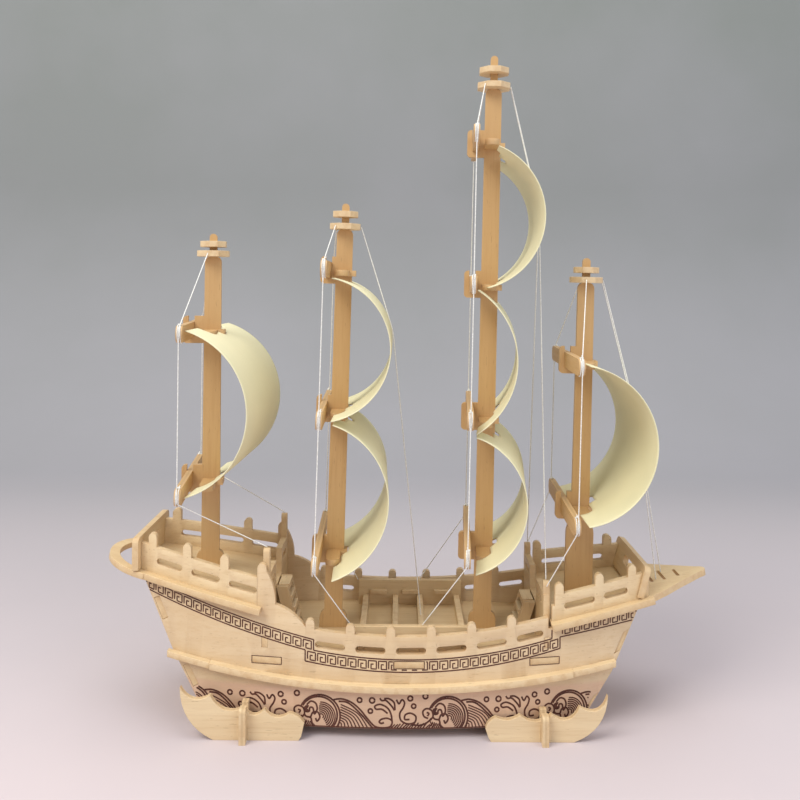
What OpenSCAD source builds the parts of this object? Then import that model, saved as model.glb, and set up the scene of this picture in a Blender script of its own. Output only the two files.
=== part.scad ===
// A four-masted wooden sailing ship that is cut from plywood sheet as a 3-D jigsaw and slotted
// together, with bulging paper sails, thread rigging and two wave-shaped stands.
// +X points to the bow, +Y to port and +Z up. The stands rest on z = 0.

/* [Sheet] */
// Thickness of the plywood sheet
ply = 3; // [2.8:0.1:3.1]
// Clearance on each side of a plate in its slot
play = 0.1; // [0.05:0.05:0.15]

/* [Hull] */
// Half of the greatest beam, outside the side plates
half_beam = 41.7; // [41:0.1:42]
// Radius of each side plate in plan
plan_r = 435; // [425:5:450]
// Height of the hull's bottom above the table
hull_z = 5; // [4:0.5:6]
// Height of the middle of the bulwark's top edge
bulwark_z = 48.1; // [47.5:0.1:49]
// Underside of the main deck
deck_z = 33.5; // [33:0.1:34]
// Upward tilt of the poop deck towards the stern, in degrees
poop_tilt = 11.8; // [11:0.1:12.5]
// Upward tilt of the foredeck towards the bow, in degrees
fore_tilt = 9.8; // [9:0.1:10]

/* [Rails] */
// Width of a rail post
post_w = 4.2; // [3.8:0.1:4.6]
// Height of the long windows in the rails
window_h = 3.2; // [2.6:0.1:3.6]
// How far the bow rail leans forward, in degrees
bow_lean = 15; // [10:1:16]

/* [Masts] */
// Width of a mast
mast_w = 9.3; // [8.6:0.1:9.6]
// Height of a yard's spar
spar_h = 8; // [7:0.5:9]
// Diameter of the rigging thread
thread_d = 0.5; // [0.4:0.1:0.7]
// Thickness of the sail paper
paper = 0.6; // [0.4:0.1:0.8]

/* [Stands] */
// Distance from the middle plane to the inner face of a wave plate
wave_y = 40.2; // [40:0.1:41]
// How far a cross plate stands out beyond the wave plates
cross_out = 4.7; // [3:0.1:6]

/* [Hidden] */

$fn = 48;
plan_fn = 720;
far = 400;
plan_x = -5;
plank = 4.6;
deck_top = deck_z + ply;

// Colours of the pieces
pale = "#ecd9ae";
cream = "#f0e2bd";
warm = "#d8a768";
sail_colour = "#e6e2b8";
thread_colour = "#efece2";

// Fore-and-aft stations
stern = [[-130, 69.2], [-115.3, 37.7], [-97, hull_z]];
bow = [[112.3, 57.2], [98.3, 27.5], [83, hull_z]];
poop_x = -70.7;
poop_z = 57.3;
fore_x = 67.9;
fore_z = 50.3;
post_x = -72.3;
rail_h = 13;
rail_post_h = 19.2;
rail_window_z = 6.6;
fore_rail_h = 12;
fore_post_h = 17.4;
fore_window_z = 5.9;
poop_posts = [-125.5, -107.5, -88.6];
fore_posts = [71.6, 91.6, 108.4];
bulwark_posts = [for (i = [0 : 5]) -46.8 + 19.06 * i];
bulwark_end = 66.2;
deck_tabs = [-67.5, 0, 64.5];
tab_l = 14;
frame_x = [-84, -40, 18, 70];
stern_rail_x = -133;
bow_rail_x = 110.8;

// Masts: station, turn in the step, rake, foot, tip, disc heights and diameters
MIZZEN = 0;
SECOND = 1;
MAIN = 2;
FORE = 3;
mast_x = [-102.6, -39, 37.9, 87.6];
mast_turn = [6, 1.5, -3.8, -2];
mast_rake = [0.2, 1.4, 0.9, 1.1];
mast_foot = [67, deck_top, deck_top, 56.7];
mast_tip = [238.9, 255, 331.6, 227.7];
low_disc = [228.6, 243.1, 315.9, 216.4];
high_disc = [233.5, 249.4, 323.7, 221.5];
low_disc_d = [16, 15.6, 16.6, 16];
high_disc_d = [13, 12.8, 15, 12.4];
yard_half = [[45, 45], [46, 46, 46], [39, 46, 46, 46], [45, 45]];
yard_z = [[189.5, 112.9], [220.5, 149.1, 76.7], [286.2, 213.7, 145.5, 78.7], [175, 100]];
spar_z = [[189.5, 112.9], [220.5, 149.1, 80.7], [286.2, 213.7, 149.1, 84.2], [175, 100]];
spar_x = [-10.7, -7.8, -8.8, -8.6];
lug_out = 4.2;
lug_h = 14;
neck_w = 3.8;
foot_w = 14;
tree_x = -0.6;
tree_w = 7;
collar = [-3.9, 6.3];
collar_half = 4.5;
tree_half = 19;
tree_drop = 1.5;

// Sails: mast, top and bottom edge, station of the starboard edge, bulge, half width, turn, tilt
MIZZEN_SAIL = [MIZZEN, 191.2, 111.5, -106.5, 30, 40, -3.3, 0];
SECOND_UPPER = [SECOND, 216.6, 147.9, -37.6, 28.4, 40, 0, 0];
SECOND_LOWER = [SECOND, 147.2, 73, -36.7, 27, 40, 1.5, 0];
MAIN_UPPER = [MAIN, 280.8, 211.9, 37.2, 25, 32.5, -1.6, 3.8];
MAIN_MIDDLE = [MAIN, 211.3, 142.4, 31.4, 19.3, 40, -7, 0];
MAIN_LOWER = [MAIN, 141.8, 76.5, 31.2, 24.3, 40, -6.5, 0];
FORE_SAIL = [FORE, 175.9, 99.6, 84.4, 32.5, 41, -0.3, 0];

// ---------- Drawing helpers ----------

// Half of the hull's outer width at station x.
function beam(x) = half_beam - plan_r + sqrt(pow(plan_r, 2) - pow(x - plan_x, 2));
// Underside of the poop deck and of the foredeck, top of the bulwark, underside of the strake.
function poop_under(x) = poop_z + tan(poop_tilt) * (poop_x - x);
function fore_under(x) = fore_z + tan(fore_tilt) * (x - fore_x);
function poop_top(x) = poop_under(x) + ply / cos(poop_tilt);
function fore_top(x) = fore_under(x) + ply / cos(fore_tilt);
function bulwark(x) = bulwark_z + 0.0015 * pow(x + 4, 2);
function strake_z(x) = 23.1 + 0.00075 * pow(x, 2);

// Points from p towards q on a curve that swells to the left by sag; q itself is left out.
function curve(p, q, sag, n = 8) = [for (i = [0 : n - 1])
    let (t = i / n, d = q - p)
    p + t * d + 4 * sag * t * (1 - t) * [-d[1], d[0]] / norm(d)];

// A plate whose outline is drawn in X and Z, between two values of Y.
module side_plate(y0, y1) {
    translate([0, y1, 0])
        rotate([90, 0, 0])
            linear_extrude(y1 - y0)
                children();
}

// A plate whose outline is drawn in Y and Z, between two values of X.
module cross_plate(x0, x1) {
    translate([x0, 0, 0])
        rotate([90, 0, 90])
            linear_extrude(x1 - x0)
                children();
}

// A flat plate whose outline is drawn in X and Y.
module flat_plate(z0, z1) {
    translate([0, 0, z0])
        linear_extrude(z1 - z0)
            children();
}

// Points of an arc about mid, from angle a through an angle of turn.
function arc(mid, r, a, turn, n = 10) =
    [for (i = [0 : n]) mid + r * [cos(a + turn * i / n), sin(a + turn * i / n)]];

// A bar with round ends between two points.
module slot_2d(p, q, h) {
    a = atan2(q[1] - p[1], q[0] - p[0]);
    polygon(concat(arc(q, h / 2, a - 90, 180), arc(p, h / 2, a + 90, 180)));
}

// The same bar with true round ends, for the pieces that are flat all over.
module bar_2d(p, q, h) {
    d = q - p;
    translate(p)
        rotate(atan2(d[1], d[0]))
            translate([0, 0.01 - h / 2])
                square([norm(d), h - 0.02]);
    translate(p)
        circle(h / 2);
    translate(q)
        circle(h / 2);
}

// A post with a round top.
module post_2d(x, z0, z1, w = post_w) {
    polygon(concat([[x - w / 2, z0], [x + w / 2, z0]], arc([x, z1 - w / 2], w / 2, 0, 180)));
}

// The hull's plan, its outline moved inwards by inset.
module plan_2d(inset) {
    intersection_for(side = [-1, 1])
        translate([plan_x, side * (half_beam - plan_r)])
            circle(plan_r - inset, $fn = plan_fn);
}

// The upright wall on one side between two insets; side is -1 to starboard and 1 to port.
module wall(side, outer, inner) {
    difference() {
        flat_plate(0, far)
            plan_2d(outer);
        flat_plate(-1, far + 1)
            plan_2d(inner);
        translate([-far, side > 0 ? -far : 0, -1])
            cube([2 * far, far, far + 2]);
    }
}

// The part of a plate that fits between the side plates, and its tabs that show outside.
module between_sides(gap = 0.05) {
    intersection() {
        children(0);
        flat_plate(0, far)
            plan_2d(ply + gap);
    }
    if ($children > 1)
        intersection() {
            children(1);
            flat_plate(0, far)
                plan_2d(0);
        }
}

module poop_frame() {
    translate([poop_x, 0, poop_z])
        rotate([0, poop_tilt, 0])
            children();
}

module fore_frame() {
    translate([fore_x, 0, fore_z])
        rotate([0, -fore_tilt, 0])
            children();
}

module at_mast(i) {
    translate([mast_x[i], 0, mast_foot[i]])
        rotate([0, 0, mast_turn[i]])
            rotate([0, mast_rake[i], 0])
                translate([0, 0, -mast_foot[i]])
                    children();
}

// ---------- Hull ----------

module bulwark_windows_2d() {
    edge = post_w / 2 + window_h / 2 + 0.3;
    for (i = [0 : 5]) {
        a = bulwark_posts[i] + edge;
        b = (i < 5 ? bulwark_posts[i + 1] : bulwark_end) - edge;
        slot_2d([a, bulwark(a) - 6.7], [b, bulwark(b) - 6.7], window_h);
    }
}

module hull_side_2d() {
    sweep_low = [-48.6, bulwark(-48.6)];
    sweep_mid = [-63.5, 61.5];
    sweep_top = [-67.9, 77];
    polygon(concat(
        [stern[1], stern[2], bow[2], bow[1]],
        [[112.3, fore_under(112.3)], [fore_x, fore_z], [bulwark_end, fore_z]],
        [for (x = [bulwark_end : -4.1 : -46]) [x, bulwark(x)]],
        curve(sweep_low, sweep_mid, -1.6),
        curve(sweep_mid, sweep_top, -1.2),
        [sweep_top, [post_x, 77], [post_x, poop_under(post_x)], [-130, poop_under(-130)]]));
    post_2d((post_x - 67.9) / 2, 70, 80.4, -67.9 - post_x);
    for (x = bulwark_posts)
        post_2d(x, bulwark(x) - 1, bulwark(x) + 4.4);
}

// The slots for the tabs of the deck, the strake, the end plates and the two break walls.
module hull_slots_2d() {
    for (x = deck_tabs)
        translate([x - tab_l / 2 - play, deck_z - play])
            square([tab_l + 2 * play, ply + 2 * play]);
    for (x = strake_tabs)
        strake_2d(x - 6 - play, x + 6 + play, play);
    end_slots_2d(stern, 1, play);
    end_slots_2d(bow, -1, play);
    for (x = [poop_wall_x, fore_wall_x])
        translate([x - play, 41 - play])
            square([ply + 2 * play, 5 + 2 * play]);
}

module hull_side(side) {
    intersection() {
        wall(side, 0, ply);
        side_plate(-60, 60)
            difference() {
                hull_side_2d();
                bulwark_windows_2d();
                hull_slots_2d();
            }
    }
}

module hull_side_starboard() { color(cream) hull_side(-1); }
module hull_side_port() { color(cream) hull_side(1); }

module keel_spine() {
    color(pale)
        side_plate(-ply / 2, ply / 2)
            difference() {
                polygon([[-93, hull_z + ply], [79, hull_z + ply], [91.5, 27.5], [94, deck_z],
                    [-107.5, deck_z]]);
                for (x = frame_x)
                    translate([x - play, 20])
                        square([ply + 2 * play, far]);
            }
}

module bottom_plate() {
    color(pale)
        between_sides()
            translate([-92.5, -60, hull_z])
                cube([171.5, 120, ply]);
}

module bulkheads() {
    color(pale)
        for (x = frame_x)
            between_sides()
                cross_plate(x, x + ply)
                    difference() {
                        translate([-50, hull_z + ply])
                            square([100, deck_z - hull_z - ply]);
                        translate([-ply / 2 - play, 0])
                            square([ply + 2 * play, 20]);
                    }
}

// A raked end plate lies 1 mm inside an edge of the side plates; way points into the hull.
rake_in = 1;
rake_tab = [11, 22];

function inward(p, q, way) = let (d = (q - p) / norm(q - p)) way * [abs(d[1]), -abs(d[0]) * sign(d[1]) * sign(d[0]) * way];

// The slot for an end plate's tab, drawn from the side and widened by grow.
module rake_slot_2d(p, q, way, grow) {
    d = (q - p) / norm(q - p);
    in = inward(p, q, way);
    a = p + d * (rake_tab[0] - grow) + in * (rake_in - grow);
    b = p + d * (rake_tab[1] + grow) + in * (rake_in - grow);
    c = in * (ply + 2 * grow);
    polygon([a, b, b + c, a + c]);
}

module end_slots_2d(edge, way, grow) {
    rake_slot_2d(edge[0], edge[1], way, grow);
    rake_slot_2d(edge[1], edge[2], way, grow);
}

// The plate's own outline: distance down the rake, and half of its width there.
module raked_plate(p, q, way, trim) {
    d = (q - p) / norm(q - p);
    in = inward(p, q, way);
    long = norm(q - p) - trim[1];
    function half(t) = beam((p + d * t + in * rake_in)[0]);
    side = concat(
        [for (t = [trim[0], (trim[0] + rake_tab[0]) / 2, rake_tab[0]]) [t, half(t) - ply - play]],
        [for (t = rake_tab) [t, half(t) - 0.1]],
        [for (t = [rake_tab[1], (rake_tab[1] + long) / 2, long]) [t, half(t) - ply - play]]);
    n = len(side);
    face = p + in * rake_in;
    multmatrix([[d[0], 0, in[0], face[0]],
        [0, 1, 0, 0],
        [d[1], 0, in[1], face[1]],
        [0, 0, 0, 1]])
        linear_extrude(ply)
            polygon(concat([for (i = [0 : n - 1]) [side[i][0], -side[i][1]]],
                [for (i = [n - 1 : -1 : 0]) side[i]]));
}

module end_plates(edge, way) {
    raked_plate(edge[0], edge[1], way, [4.4, 0.2]);
    raked_plate(edge[1], edge[2], way, [0.2, 0.6]);
}

module stern_plates() { color(pale) end_plates(stern, 1); }
module bow_plates() { color(pale) end_plates(bow, -1); }

// ---------- Decks ----------

module mast_slot(i, w) {
    at_mast(i)
        translate([-w / 2 - play, -ply / 2 - play, 0])
            cube([w + 2 * play, ply + 2 * play, 100]);
}

module main_deck() {
    color(pale)
        difference() {
            between_sides() {
                translate([-107.6, -60, deck_z])
                    cube([202.6, 120, ply]);
                for (x = deck_tabs)
                    translate([x - tab_l / 2, -60, deck_z])
                        cube([tab_l, 120, ply]);
            }
            mast_slot(SECOND, mast_w);
            mast_slot(MAIN, mast_w);
        }
}

// The poop deck ends in a round open loop behind the stern rail.
module poop_deck() {
    loop_x = -56;
    loop_r = 28.6;
    solid_x = -66.8;
    color(cream)
        difference() {
            poop_frame()
                linear_extrude(ply)
                    difference() {
                        union() {
                            intersection() {
                                translate([-poop_x, 0])
                                    plan_2d(-plank);
                                translate([solid_x + 7, -60])
                                    square([-solid_x - 7, 120]);
                            }
                            intersection() {
                                translate([loop_x, 0])
                                    circle(loop_r);
                                translate([-far, -60])
                                    square([far + solid_x + 7.01, 120]);
                            }
                        }
                        intersection() {
                            translate([loop_x, 0])
                                circle(loop_r - 5);
                            translate([-far, -60])
                                square([far + solid_x, 120]);
                        }
                    }
            for (side = [-1, 1])
                intersection() {
                    wall(side, -play, ply + play);
                    translate([post_x - play, -60, 0])
                        cube([10, 120, 100]);
                }
            mast_slot(MIZZEN, mast_w);
        }
}

// The foredeck runs out into a pointed prow with three slits for the stays.
module fore_deck() {
    tip_r = 3.6;
    tip_x = 83.2;
    color(cream)
        difference() {
            fore_frame()
                linear_extrude(ply)
                    difference() {
                        union() {
                            intersection() {
                                translate([-fore_x, 0])
                                    plan_2d(-plank);
                                translate([0, -60])
                                    square([52.5, 120]);
                            }
                            polygon([[45, -27], [53.5, -24.4], [60.5, -20], [70, -12.9], [tip_x + 1, -3.2],
                                [tip_x + 1, 3.2], [70, 12.9], [60.5, 20], [53.5, 24.4], [45, 27]]);
                            translate([tip_x, 0])
                                circle(tip_r);
                        }
                        for (slit = [[57.5, 13], [64, 12], [71.7, 8]])
                            slot_2d([slit[0], -slit[1] / 2], [slit[0], slit[1] / 2], 1.6);
                    }
            mast_slot(FORE, mast_w);
        }
}

// ---------- Rails ----------

// A side rail stands on a sloping deck above the hull's side plate.
module side_rail_2d(x0, x1, posts, high, post_high, window_at, deck_is_poop) {
    function base(x) = deck_is_poop ? poop_top(x) : fore_top(x);
    polygon([[x0, base(x0)], [x1, base(x1)], [x1, base(x1) + high], [x0, base(x0) + high]]);
    for (x = posts)
        post_2d(x, base(x) + 2, base(x) + post_high);
}

module rail_windows_2d(edges, window_at, deck_is_poop) {
    inset = post_w / 2 + window_h / 2 + 0.2;
    function base(x) = deck_is_poop ? poop_top(x) : fore_top(x);
    for (i = [0 : len(edges) - 2]) {
        a = edges[i] + inset;
        b = edges[i + 1] - inset;
        slot_2d([a, base(a) + window_at], [b, base(b) + window_at], window_h);
    }
}

module poop_rail_blank(side) {
    intersection() {
        wall(side, 0, ply);
        side_plate(-60, 60)
            difference() {
                side_rail_2d(-136, post_x - play, poop_posts, rail_h, rail_post_h,
                    rail_window_z, true);
                rail_windows_2d(concat(poop_posts, [post_x + 2.2]), rail_window_z, true);
            }
    }
}

// The upper half of a corner joint is cut from the side rail and the lower from the end rail.
module poop_rail(side) {
    difference() {
        poop_rail_blank(side);
        translate([stern_rail_x - ply / 2 - play, -60, poop_top(stern_rail_x) + rail_h / 2])
            cube([ply + 2 * play, 120, 60]);
    }
}

module poop_rail_starboard() { color(cream) poop_rail(-1); }
module poop_rail_port() { color(cream) poop_rail(1); }

module end_rail_2d(half, base, high) {
    difference() {
        union() {
            translate([-half, base])
                square([2 * half, high - 3]);
            slot_2d([-half + 3, base + high - 3], [half - 3, base + high - 3], 6);
        }
        slot_2d([-6, base + high * 0.55], [6, base + high * 0.55], 4.4);
    }
}

module stern_rail() {
    base = poop_top(stern_rail_x - ply / 2);
    color(pale)
        difference() {
            cross_plate(stern_rail_x - ply / 2, stern_rail_x + ply / 2)
                end_rail_2d(28.2, base, 15.6);
            for (side = [-1, 1])
                intersection() {
                    wall(side, -play, ply + play);
                    translate([stern_rail_x - 10, -60, 0])
                        cube([20, 120, poop_top(stern_rail_x) + rail_h / 2]);
                }
        }
}

module bow_rail_frame() {
    translate([bow_rail_x, 0, fore_top(bow_rail_x + ply)])
        rotate([0, bow_lean, 0])
            children();
}

module fore_rail_blank(side) {
    intersection() {
        wall(side, 0, ply);
        side_plate(-60, 60)
            difference() {
                union() {
                    side_rail_2d(fore_x + 1.5, 117.2, fore_posts, fore_rail_h, fore_post_h,
                        fore_window_z, false);
                    polygon([[fore_x + 0.2, fore_top(fore_x + 0.2)], [fore_x + 3, fore_top(fore_x + 3)],
                        [fore_x + 3, fore_top(fore_x) + 7.4], [fore_x + 0.2, fore_top(fore_x) + 7.4]]);
                }
                rail_windows_2d(fore_posts, fore_window_z, false);
            }
    }
}

module fore_rail(side) {
    difference() {
        fore_rail_blank(side);
        bow_rail_frame()
            translate([-play, -60, fore_rail_h / 2])
                cube([ply + 2 * play, 120, 60]);
    }
}

module fore_rail_starboard() { color(cream) fore_rail(-1); }
module fore_rail_port() { color(cream) fore_rail(1); }

module bow_rail() {
    color(pale)
        difference() {
            bow_rail_frame()
                cross_plate(0, ply)
                    end_rail_2d(27, 0.8, 15.4);
            for (side = [-1, 1])
                intersection() {
                    wall(side, -play, ply + play);
                    bow_rail_frame()
                        translate([-30, -60, -60])
                            cube([60, 120, 60 + fore_rail_h / 2]);
                }
        }
}

poop_wall_x = poop_x + 0.7;
fore_wall_x = fore_x - 0.6 - ply;

// A break wall closes the space under a raised deck and carries its cross rail.
module break_wall(x, deck_level, rail_level, post_level, post_y) {
    between_sides() {
        cross_plate(x, x + ply)
            difference() {
                union() {
                    translate([-50, deck_top])
                        square([100, rail_level - deck_top]);
                    for (side = [-1, 1])
                        post_2d(side * post_y, rail_level - 1, post_level);
                }
                translate([-10, deck_level])
                    square([20, far]);
                for (side = [-1, 1])
                    slot_2d([side * 15, deck_level + 7], [side * 25, deck_level + 7], window_h);
            }
        translate([x, -60, 41])
            cube([ply, 120, 5]);
    }
}

module poop_break_wall() { color(pale) break_wall(poop_wall_x, 60.4, 73.5, 86.5, 31.4); }
module fore_break_wall() { color(pale) break_wall(fore_wall_x, 53.4, 65.4, 71.5, 30.4); }

// ---------- Stairs ----------

tread_y = 6.5;

module stair_2d(top, bottom, w) {
    polygon([top, top + [w, 0], bottom + [w, 0], bottom]);
}

module stringers() {
    for (side = [-1, 1])
        side_plate(side * (tread_y + ply / 2) - ply / 2, side * (tread_y + ply / 2) + ply / 2)
            children();
}

module treads(top, bottom, w, count) {
    for (i = [0 : count - 1]) {
        t = (i + 0.55) / count;
        p = bottom + t * (top - bottom);
        translate([p[0], -tread_y, p[1]])
            cube([w, 2 * tread_y, ply]);
    }
}

poop_stair = [[poop_wall_x + ply, 60], [poop_wall_x + ply + 6, deck_top], 5.6];
fore_stair = [[fore_wall_x - 5.6, 53], [fore_wall_x - 11, deck_top], 5.6];

module poop_stair_stringers() { color(pale) stringers() stair_2d(poop_stair[0], poop_stair[1], poop_stair[2]); }
module poop_stair_treads() { color(cream) treads(poop_stair[0], poop_stair[1], poop_stair[2], 4); }
module fore_stair_stringers() { color(pale) stringers() stair_2d(fore_stair[0], fore_stair[1], fore_stair[2]); }
module fore_stair_treads() { color(cream) treads(fore_stair[0], fore_stair[1], fore_stair[2], 3); }

// ---------- Hatch ----------

hatch_y = 30.8;
hatch_cross = [-24.5, -8.2, 5, 25.2];
hatch_ends = [-27, 29.4];
hatch_tab_z = deck_top + 1.4;

module hatch_sides() {
    color(pale)
        for (side = [-1, 1])
            side_plate(side > 0 ? hatch_y : -hatch_y - ply, side > 0 ? hatch_y + ply : -hatch_y)
                difference() {
                    translate([hatch_ends[0], deck_top])
                        square([hatch_ends[1] - hatch_ends[0], 13.4]);
                    for (x = hatch_cross)
                        translate([x - play, hatch_tab_z - play])
                            square([ply + 2 * play, 2.6 + 2 * play]);
                }
}

module hatch_cross_plates() {
    color(cream)
        for (x = hatch_cross)
            cross_plate(x, x + ply) {
                translate([-hatch_y, deck_top])
                    square([2 * hatch_y, 5.6]);
                translate([-hatch_y - ply, hatch_tab_z])
                    square([2 * (hatch_y + ply), 2.6]);
            }
}

// Short ledges on the inner faces of the hatch's sides.
module hatch_ledges() {
    color(cream)
        for (side = [-1, 1])
            for (x = [-20.6, -3.1, 14.5])
                translate([x, side > 0 ? hatch_y - 2.4 : -hatch_y, deck_top + 6.6])
                    cube([9, 2.4, 1.8]);
}

// ---------- Rubbing strakes ----------

strake_out = 4;
strake_ends = [-95, 78];
strake_tabs = [-62, -6, 50];

module strake_2d(x0, x1, grow = 0) {
    n = ceil((x1 - x0) / 8);
    xs = [for (i = [0 : n]) x0 + (x1 - x0) * i / n];
    polygon(concat([for (x = xs) [x, strake_z(x) - grow]],
        [for (i = [n : -1 : 0]) [xs[i], strake_z(xs[i]) + ply + grow]]));
}

module strake(side) {
    intersection() {
        wall(side, -strake_out, 0);
        side_plate(-60, 60)
            strake_2d(strake_ends[0], strake_ends[1]);
    }
    for (x = strake_tabs)
        intersection() {
            wall(side, -1, ply);
            side_plate(-60, 60)
                strake_2d(x - 6, x + 6);
        }
}

module end_strakes(side) {
    intersection() {
        wall(side, -strake_out + 0.5, 0);
        side_plate(-60, 60) {
            strake_2d(-116.5, strake_ends[0] - play);
            strake_2d(strake_ends[1] + play, 99.5);
        }
    }
}

module strake_starboard() { color(cream) strake(-1); }
module strake_port() { color(cream) strake(1); }
module strake_ends_starboard() { color(cream) end_strakes(-1); }
module strake_ends_port() { color(cream) end_strakes(1); }

// ---------- Masts and yards ----------

// Half of a mast's width at a height; it tapers by 1 mm up to the lower disc.
function mast_half(i, z) = mast_w / 2 - 0.5 * (z - mast_foot[i]) / (low_disc[i] - mast_foot[i]);
// A convex shoulder from one half width and height in to a smaller half width higher up.
function shoulder(w0, z0, w1, z1) = [for (k = [0 : 4]) [w1 + (w0 - w1) * cos(22.5 * k), z0 + (z1 - z0) * sin(22.5 * k)]];
function both(points) = concat(points, [for (k = [len(points) - 1 : -1 : 0]) [-points[k][0], points[k][1]]]);

// A mast is a flat plate with a wide foot, a tenon, a lug behind each yard and a blunt neck.
module mast(i) {
    foot = mast_foot[i];
    tenon = i == MIZZEN || i == FORE ? 6 : ply - 0.15;
    top = low_disc[i] - ply / 2;
    tip = [for (k = [0 : 4]) [neck_w / 2 * cos(22.5 * k), mast_tip[i] + neck_w / 2 * (sin(22.5 * k) - 1)]];
    color(warm)
        at_mast(i)
            side_plate(-ply / 2, ply / 2)
                difference() {
                    union() {
                        polygon(both(concat([[mast_w / 2, foot - tenon]],
                            shoulder(mast_half(i, top - 3), top - 3, neck_w / 2, top - 0.1), tip)));
                        foot_2d(i);
                        for (n = [0 : len(yard_z[i]) - 1]) {
                            z = yard_z[i][n];
                            aft = spar_x[i] - lug_out + 2;
                            translate([aft, z - lug_h / 2])
                                square([3 - aft - mast_w / 2, lug_h]);
                            bar_2d([aft, z - lug_h / 2 + 2], [aft, z + lug_h / 2 - 2], 4);
                        }
                    }
                    for (z = spar_z[i])
                        translate([spar_x[i] - ply / 2 - play, z])
                            square([ply + 2 * play, 12]);
                }
}

// The foot widens above a deck that may slope, so its lower edge follows that deck.
module foot_2d(i) {
    slope = tan(mast_rake[i]) + (i == MIZZEN ? -tan(poop_tilt) : i == FORE ? tan(fore_tilt) : 0);
    half = foot_w / 2;
    rise = i == FORE ? [29, 34] : [4, 8.5];
    foot = i == MIZZEN ? poop_top(mast_x[i]) : i == FORE ? fore_top(mast_x[i]) : mast_foot[i];
    intersection() {
        polygon(both(concat([[half, foot - 4]],
            shoulder(half, foot + rise[0], mast_half(i, foot + rise[1]), foot + rise[1]))));
        polygon([[-half - 1, foot + 0.1 - slope * (half + 1)], [half + 1, foot + 0.1 + slope * (half + 1)],
            [half + 1, foot + 40], [-half - 1, foot + 40]]);
    }
}

module mizzen_mast() { mast(MIZZEN); }
module second_mast() { mast(SECOND); }
module main_mast() { mast(MAIN); }
module fore_mast() { mast(FORE); }

module disc(z, d) {
    difference() {
        translate([0, 0, z - ply / 2])
            rotate([0, 0, 22.5])
                cylinder(h = ply, d = d / cos(22.5), $fn = 8);
        translate([-neck_w / 2 - play, -ply / 2 - play, z - ply])
            cube([neck_w + 2 * play, ply + 2 * play, 2 * ply]);
    }
}

module discs(i) {
    color(cream)
        at_mast(i) {
            disc(low_disc[i], low_disc_d[i]);
            disc(high_disc[i], high_disc_d[i]);
        }
}

module mizzen_discs() { discs(MIZZEN); }
module second_discs() { discs(SECOND); }
module main_discs() { discs(MAIN); }
module fore_discs() { discs(FORE); }

// The spars stand on edge behind the mast, halved into its lugs.
module spars(i) {
    color(warm)
        at_mast(i)
            for (n = [0 : len(spar_z[i]) - 1]) {
                z = spar_z[i][n];
                end = yard_half[i][n] - spar_h / 2;
                cross_plate(spar_x[i] - ply / 2, spar_x[i] + ply / 2)
                    difference() {
                        bar_2d([-end, z], [end, z], spar_h);
                        translate([-ply / 2 - play, z - spar_h])
                            square([ply + 2 * play, spar_h]);
                    }
            }
}

module mizzen_spars() { spars(MIZZEN); }
module second_spars() { spars(SECOND); }
module main_spars() { spars(MAIN); }
module fore_spars() { spars(FORE); }

// Two narrow arms, and a collar that reaches round the front of the mast.
module tree_2d(grow = 0) {
    end = tree_half - tree_w / 2;
    translate([tree_x, 0])
        bar_2d([0, -end], [0, end], tree_w + 2 * grow);
    translate([collar[0] - grow, -collar_half - grow])
        square([collar[1] - collar[0] + 2 * grow, 2 * (collar_half + grow)]);
}

// A crosstree slides onto the mast from ahead and holds the edges of the sails.
module crosstrees(i) {
    color(warm)
        at_mast(i)
            for (z = yard_z[i])
                flat_plate(z - tree_drop - ply / 2, z - tree_drop + ply / 2)
                    difference() {
                        tree_2d();
                        translate([-20, -ply / 2 - play])
                            square([20 + mast_half(i, z) + play, ply + 2 * play]);
                    }
}

module mizzen_crosstrees() { crosstrees(MIZZEN); }
module second_crosstrees() { crosstrees(SECOND); }
module main_crosstrees() { crosstrees(MAIN); }
module fore_crosstrees() { crosstrees(FORE); }

// ---------- Sails ----------

function sail_r(s) = (pow((s[1] - s[2]) / 2, 2) + pow(s[4], 2)) / (2 * s[4]);
// Middle of the sail's arc, from the lower edge's middle and before the tilt.
function sail_mid(s) = [s[4] - sail_r(s), (s[1] - s[2]) / 2];
// Station of the middle of the sail's lower edge.
function sail_x(s) = s[3] - s[5] * sin(s[6]);

// What the mast, its crosstree and its lugs take out of the sails' edges.
module notch_2d() {
    tree_2d(0.5);
    translate([-30, -tree_half - 0.5])
        square([30 + tree_x, 2 * tree_half + 1]);
}

// A sail is part of a thin upright cylinder wall that bulges forward, notched for the mast.
module sail(s) {
    color(sail_colour)
        difference() {
            translate([sail_x(s), 0, s[2]])
                rotate([0, 0, s[6]])
                    rotate([0, s[7], 0])
                        side_plate(-s[5], s[5])
                            intersection() {
                                translate(sail_mid(s))
                                    difference() {
                                        circle(sail_r(s), $fn = 240);
                                        circle(sail_r(s) - paper, $fn = 240);
                                    }
                                translate([0, -far / 2])
                                    square(far);
                            }
            at_mast(s[0])
                flat_plate(0, far)
                    notch_2d();
        }
}

module mizzen_sail() { sail(MIZZEN_SAIL); }
module second_upper_sail() { sail(SECOND_UPPER); }
module second_lower_sail() { sail(SECOND_LOWER); }
module main_upper_sail() { sail(MAIN_UPPER); }
module main_middle_sail() { sail(MAIN_MIDDLE); }
module main_lower_sail() { sail(MAIN_LOWER); }
module fore_sail() { sail(FORE_SAIL); }

// ---------- Rigging ----------

function unit(v) = v / norm(v);
function heading(path, i) = unit(
    (i > 0 ? unit(path[i] - path[i - 1]) : [0, 0, 0])
    + (i < len(path) - 1 ? unit(path[i + 1] - path[i]) : [0, 0, 0]));
function ring(p, along, side) =
    let (u = unit(cross(along, side)), v = cross(along, u))
    [for (k = [0 : 7]) p + thread_d / 2 * (cos(45 * k) * u + sin(45 * k) * v)];

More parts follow.
